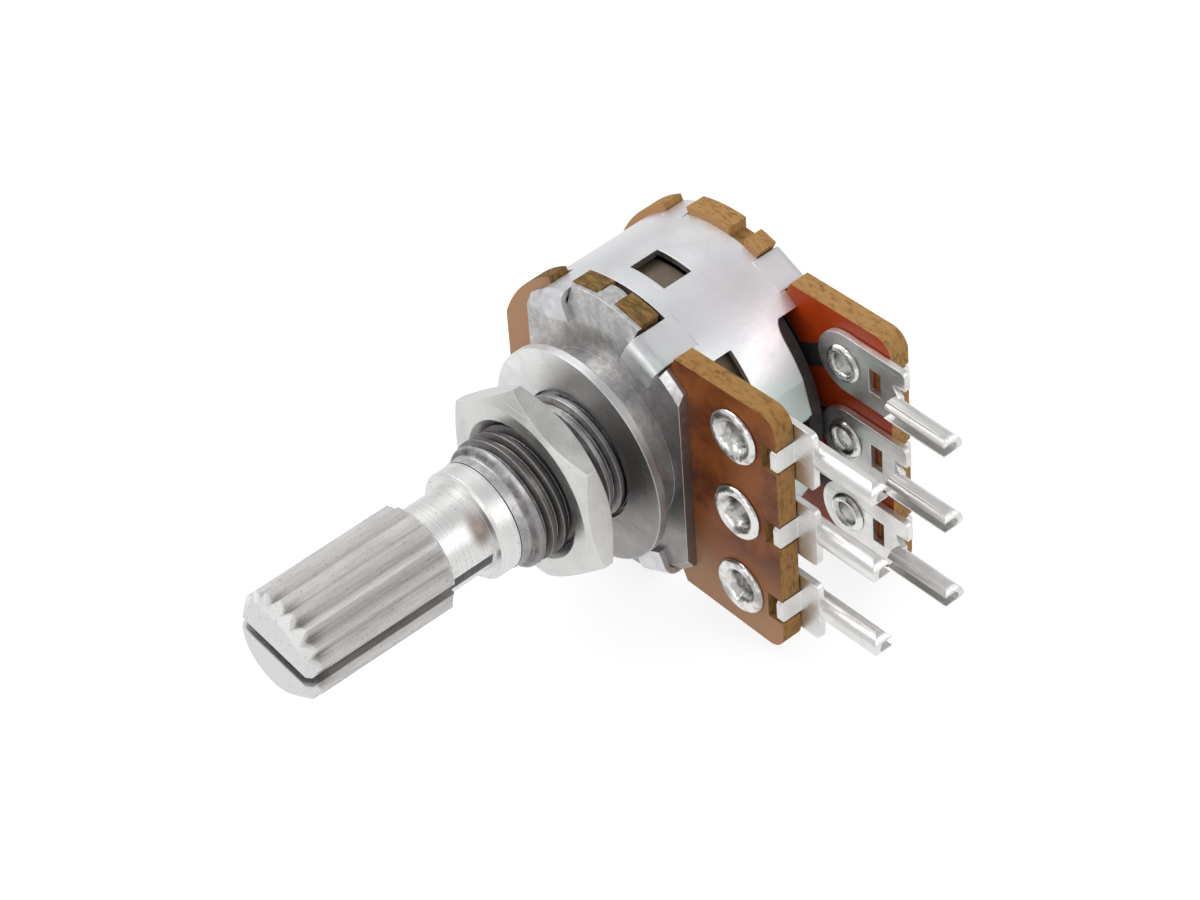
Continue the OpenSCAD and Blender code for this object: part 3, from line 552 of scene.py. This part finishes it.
for node, tones in {
        "front_wafer": ((0.1, 0.022, 0.005), (0.25, 0.072, 0.013), (0.5, 0.28, 0.15), (0.37, 0.2, 0.065), (0.12, 0.06, 0.02)),
        "rear_wafer": ((0.44, 0.05, 0.006), (0.34, 0.04, 0.006), (0.44, 0.11, 0.045), (0.43, 0.24, 0.085), (0.16, 0.075, 0.025))}.items():
    finish, tree, shader = start_finish(node + "_board", 0.4, 0.0)
    shader.inputs["Specular IOR Level"].default_value = 0.16
    look = place_group(tree, board)
    for label, tone in zip(("Face", "Face deep", "Face pale", "Edge", "Edge deep"), tones):
        look.inputs[label].default_value = (*tone, 1)
    tree.links.new(look.outputs["Color"], shader.inputs["Base Color"])
    tree.links.new(look.outputs["Roughness"], shader.inputs["Roughness"])
    add_relief(tree, shader, look.outputs["Height"], 0.04)
    dress(node, finish)
    if node == "front_wafer":
        # rim between the tabs, either side of the peg, above and below
        bm = bmesh.new()
        bm.from_mesh(nodes[node].data)
        bmesh.ops.remove_doubles(bm, verts=bm.verts, dist=0.001 * MM)
        for first, last in ((73.6, 86.4), (95.2, 107.6), (252.4, 264.8), (273.6, 286.4)):
            line = [bm.verts.new((reach * MM, deep * MM, 0)) for reach, deep in ((7.5, 2.1), (8.48, 2.1), (8.48, 3.3), (7.5, 3.3))]
            loop = [bm.edges.new(pair) for pair in zip(line, line[1:] + line[:1])]
            block_face = bm.faces.new(line)
            bmesh.ops.rotate(bm, verts=line, cent=(0, 0, 0), matrix=Matrix.Rotation(math.radians(-first), 3, "Y"))
            bmesh.ops.spin(bm, geom=line + loop + [block_face], cent=(0, 0, 0), axis=(0, 1, 0),
                           angle=-math.radians(last - first), dvec=(0, 0, 0), steps=8, use_merge=False)
        bmesh.ops.recalc_face_normals(bm, faces=bm.faces)
        round_shade(bm)
        finish_piece("front_board", bm, finish, "housing", [node])


# Tracks and collector rings. Carbon and silver inks, screen printed on the inner
# face of each wafer and cured.
carbon_finish, tree, shader = start_finish("printed_carbon", 0.55, 0.0)
place = add_place(tree)
grain = add_noise(tree, place, 9.0, 3.0, 0.7)
tree.links.new(add_mix(tree, grain, (0.015, 0.015, 0.016), (0.05, 0.05, 0.052)), shader.inputs["Base Color"])
add_relief(tree, shader, grain, 0.01)
silver_finish, tree, shader = start_finish("printed_silver", 0.42, 0.9)
place = add_place(tree)
grain = add_noise(tree, place, 6.0, 4.0, 0.7)
tree.links.new(add_mix(tree, grain, (0.5, 0.49, 0.46), (0.72, 0.71, 0.68)), shader.inputs["Base Color"])
add_relief(tree, shader, grain, 0.015)
for place_name in ("front", "rear"):
    dress(place_name + "_track", carbon_finish)
    dress(place_name + "_collector", silver_finish)


# Rotors. Moulded phenolic, filled, with a matt skin and a little dust. The front
# one is grey-brown and the rear one nearly black.
moulding, start, end = make_group("moulding", [("Tone", "Color"), ("Dust", "Color")], [("Color", "Color"), ("Height", "Float")])
place = add_place(moulding)
pebble = add_noise(moulding, place, 6.0, 3.0, 0.6)
dust = add_noise(moulding, place, 1.1, 5.0, 0.7)
moulding.links.new(add_mix(moulding, add_ramp(moulding, dust, 0.45, 0.75), start.outputs["Tone"], start.outputs["Dust"]), end.inputs["Color"])
moulding.links.new(pebble, end.inputs["Height"])
for node, tone, dusty in (("front_rotor", (0.15, 0.115, 0.075), (0.2, 0.165, 0.12)),
                          ("rear_rotor", (0.035, 0.033, 0.032), (0.075, 0.07, 0.066))):
    finish, tree, shader = start_finish(node + "_moulding", 0.6, 0.0)
    look = place_group(tree, moulding)
    look.inputs["Tone"].default_value = (*tone, 1)
    look.inputs["Dust"].default_value = (*dusty, 1)
    tree.links.new(look.outputs["Color"], shader.inputs["Base Color"])
    add_relief(tree, shader, look.outputs["Height"], 0.02)
    dress(node, finish)
    if node == "front_rotor":
        # skirt that runs back under the windows
        bm = bmesh.new()
        bm.from_mesh(nodes[node].data)
        bmesh.ops.remove_doubles(bm, verts=bm.verts, dist=0.001 * MM)
        line = [bm.verts.new((reach * MM, deep * MM, 0)) for reach, deep in ((6.8, 5.3), (7.38, 5.3), (7.38, 6.8), (7.3, 6.88), (6.8, 6.88))]
        loop = [bm.edges.new(pair) for pair in zip(line, line[1:] + line[:1])]
        skirt = bmesh.ops.spin(bm, geom=line + loop, cent=(0, 0, 0), axis=(0, 1, 0), angle=2 * math.pi,
                               dvec=(0, 0, 0), steps=96, use_merge=True)
        bmesh.ops.recalc_face_normals(bm, faces=bm.faces)
        round_shade(bm)
        finish_piece("front_rotor_skirted", bm, finish, "rotor", [node])


# Contact springs. Thin phosphor bronze strip, blanked and formed, staked on two
# pegs of each rotor.
spring_finish, tree, shader = start_finish("spring_bronze", 0.3)
place = add_place(tree)
rolled = add_noise(tree, place, 1.0, 3.0, 0.6, (9, 1, 0.6))
tree.links.new(add_mix(tree, rolled, (0.62, 0.4, 0.2), (0.8, 0.58, 0.33)), shader.inputs["Base Color"])
add_relief(tree, shader, rolled, 0.006)
dress("front_wiper", spring_finish)
dress("rear_wiper", spring_finish)


# Terminals. Tin plated brass strip, blanked, the pins rolled to a channel, each
# with a claw through the wafer's end notch. The tin is rubbed and smudged.
tin_finish, tree, shader = start_finish("terminal_tin", 0.33)
place = add_place(tree)
wear = place_group(tree, handled, 0.8)
edge = place_group(tree, rubbed_highlit_edge, 0.07)
drawn = add_noise(tree, place, 1.0, 3.0, 0.6, (0.5, 7, 7))
colour = add_mix(tree, drawn, (0.8, 0.795, 0.78), (0.92, 0.915, 0.905))
colour = add_mix(tree, add_maths(tree, "MULTIPLY", wear.outputs["Smudge"], 0.4), colour, (0.58, 0.575, 0.56))
# painted highlight and rubbing: the edges lighter
colour = add_mix(tree, add_maths(tree, "MULTIPLY", edge.outputs["Edge"], 0.55), colour, (0.93, 0.93, 0.92))
tree.links.new(colour, shader.inputs["Base Color"])
tree.links.new(add_maths(tree, "ADD", add_maths(tree, "MULTIPLY", wear.outputs["Smudge"], 0.16), 0.32), shader.inputs["Roughness"])
relief = add_maths(tree, "ADD", add_maths(tree, "MULTIPLY", drawn, 0.6), add_maths(tree, "MULTIPLY", wear.outputs["Scratch"], -0.6))
add_relief(tree, shader, relief, 0.02, edge.outputs["Normal"])
for row in ("front", "rear"):
    for count in (1, 2, 3):
        dress(f"{row}_terminal_{count}", tin_finish)


# Eyelets. Drawn from thin brass, tinned, pushed through from the outer face of
# the wafer, and rolled over the terminal. Each one stands for its CAD node.
eyelet_finish, tree, shader = start_finish("eyelet_tinned_brass", 0.26)
place = add_place(tree)
wear = place_group(tree, handled, 0.6)
edge = place_group(tree, rubbed_highlit_edge, 0.06)
crazed = add_noise(tree, place, 0.95, 2.5, 0.5)
colour = add_mix(tree, add_ramp(tree, crazed, 0.33, 0.55), (0.42, 0.41, 0.39), (0.84, 0.835, 0.82))
colour = add_mix(tree, add_maths(tree, "MULTIPLY", wear.outputs["Speck"], 0.3), colour, (0.45, 0.36, 0.25))
# painted highlight and rubbing: the edges lighter
colour = add_mix(tree, add_maths(tree, "MULTIPLY", edge.outputs["Edge"], 0.5), colour, (0.93, 0.93, 0.91))
tree.links.new(colour, shader.inputs["Base Color"])
add_relief(tree, shader, crazed, 0.2, edge.outputs["Normal"])
eyelet_profile = [(0.97, 0.0), (1.5, 0.0), (1.57, -0.06), (1.54, -0.15), (1.44, -0.22), (1.3, -0.255),
                  (1.14, -0.23), (1.0, -0.15), (0.9, -0.02), (0.8, 0.15), (0.74, 0.4), (0.62, 1.3),
                  (0.6, 1.62), (0.66, 1.76), (0.78, 1.85), (0.93, 1.84), (1.06, 1.74), (1.1, 1.63), (0.97, 1.6)]
for row in ("front", "rear"):
    for count in (1, 2, 3):
        node = f"{row}_eyelet_{count}"
        low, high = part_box(node)
        middle = (Vector(low) + Vector(high)) / 2
        seat = low[1] + 0.26 * MM if row == "front" else high[1] - 0.26 * MM
        facing = 1 if row == "front" else -1
        bm = bmesh.new()
        line = [bm.verts.new((reach * MM, facing * deep * MM, 0)) for reach, deep in eyelet_profile]
        loop = [bm.edges.new(pair) for pair in zip(line, line[1:] + line[:1])]
        bmesh.ops.spin(bm, geom=line + loop, cent=(0, 0, 0), axis=(0, 1, 0), angle=2 * math.pi,
                       dvec=(0, 0, 0), steps=48, use_merge=True)
        bmesh.ops.recalc_face_normals(bm, faces=bm.faces)
        bmesh.ops.translate(bm, vec=(middle.x, seat, middle.z), verts=bm.verts)
        round_shade(bm, 60)
        finish_piece(f"{row}_rolled_eyelet_{count}", bm, eyelet_finish, "housing", [node])


# Cover. Bright zinc plated steel sheet, rolled round the wafers, with windows, two
# stop tongues and eight folded tabs. The passivation shimmers faintly pink and green.
cover_finish, tree, shader = start_finish("cover_zinc_plate", 0.3)
place = add_place(tree)
wear = place_group(tree, handled, 0.5)
edge = place_group(tree, rubbed_highlit_edge, 0.08)
sheen = add_noise(tree, place, 0.16, 2.0, 0.5)
tint = add_mix(tree, add_ramp(tree, sheen, 0.35, 0.65), (0.82, 0.83, 0.85), (0.88, 0.83, 0.86))
green = add_noise(tree, place, 0.2, 2.0, 0.5, turn=(1, 0.4, 0.2))
tint = add_mix(tree, add_ramp(tree, green, 0.5, 0.72, 0, 0.75), tint, (0.78, 0.87, 0.84))
parts = add_node(tree, "ShaderNodeSeparateXYZ")
tree.links.new(place, parts.inputs[0])
# cut edges of the windows dull, and painted shade on the inside of the sheet
flat = add_node(tree, "ShaderNodeCombineXYZ")
tree.links.new(parts.outputs[0], flat.inputs[0])
tree.links.new(parts.outputs[2], flat.inputs[2])
radius = add_node(tree, "ShaderNodeVectorMath", {"operation": "LENGTH"})
tree.links.new(flat.outputs[0], radius.inputs[0])
inside_shade_and_cut_edge = add_maths(tree, "MULTIPLY", add_ramp(tree, radius.outputs["Value"], 8.07, 8.03), add_ramp(tree, parts.outputs[0], 5.0, 4.6))
inside_shade_and_cut_edge = add_maths(tree, "MULTIPLY", inside_shade_and_cut_edge, add_ramp(tree, parts.outputs[1], 3.6, 4.2))
inside_shade_and_cut_edge = add_maths(tree, "MULTIPLY", inside_shade_and_cut_edge, add_ramp(tree, parts.outputs[1], 9.6, 9.0))
tint = add_mix(tree, add_maths(tree, "MULTIPLY", inside_shade_and_cut_edge, 0.85), tint, (0.14, 0.12, 0.1))
# painted shade on the front tabs where they fold, broken by stretch marks
fold_shade = add_ramp(tree, parts.outputs[1], 2.3, 1.7, 0, 0.5)
stretched = add_noise(tree, place, 1.2, 2.0, 0.5, (1, 3, 1))
tint = add_mix(tree, fold_shade, tint, add_mix(tree, add_ramp(tree, stretched, 0.35, 0.65), (0.45, 0.455, 0.47), (0.66, 0.67, 0.69)))
# painted reflection: the end of the tongue tinted pale green, as its bent end catches the floor
tongue_reflection = add_ramp(tree, parts.outputs[2], 4.6, 3.6)
tongue_reflection = add_maths(tree, "MULTIPLY", tongue_reflection, add_ramp(tree, parts.outputs[0], 5.0, 5.6))
tint = add_mix(tree, add_maths(tree, "MULTIPLY", tongue_reflection, 0.8), tint, (0.7, 0.86, 0.81))
tint = add_mix(tree, add_maths(tree, "MULTIPLY", wear.outputs["Smudge"], 0.25), tint, (0.74, 0.745, 0.765))
# painted highlight and rubbing: the edges lighter
tint = add_mix(tree, add_maths(tree, "MULTIPLY", edge.outputs["Edge"], 0.6), tint, (0.92, 0.93, 0.94))
tree.links.new(tint, shader.inputs["Base Color"])
tree.links.new(add_maths(tree, "ADD", add_maths(tree, "MULTIPLY", wear.outputs["Smudge"], 0.1), 0.42), shader.inputs["Roughness"])
orange_peel = add_noise(tree, place, 2.5, 3.0, 0.6)
relief = add_maths(tree, "ADD", orange_peel, add_maths(tree, "MULTIPLY", wear.outputs["Scratch"], -0.4))
add_relief(tree, shader, relief, 0.008, edge.outputs["Normal"])
dress("cover", cover_finish)

bpy.context.scene.view_settings.view_transform = "Standard"
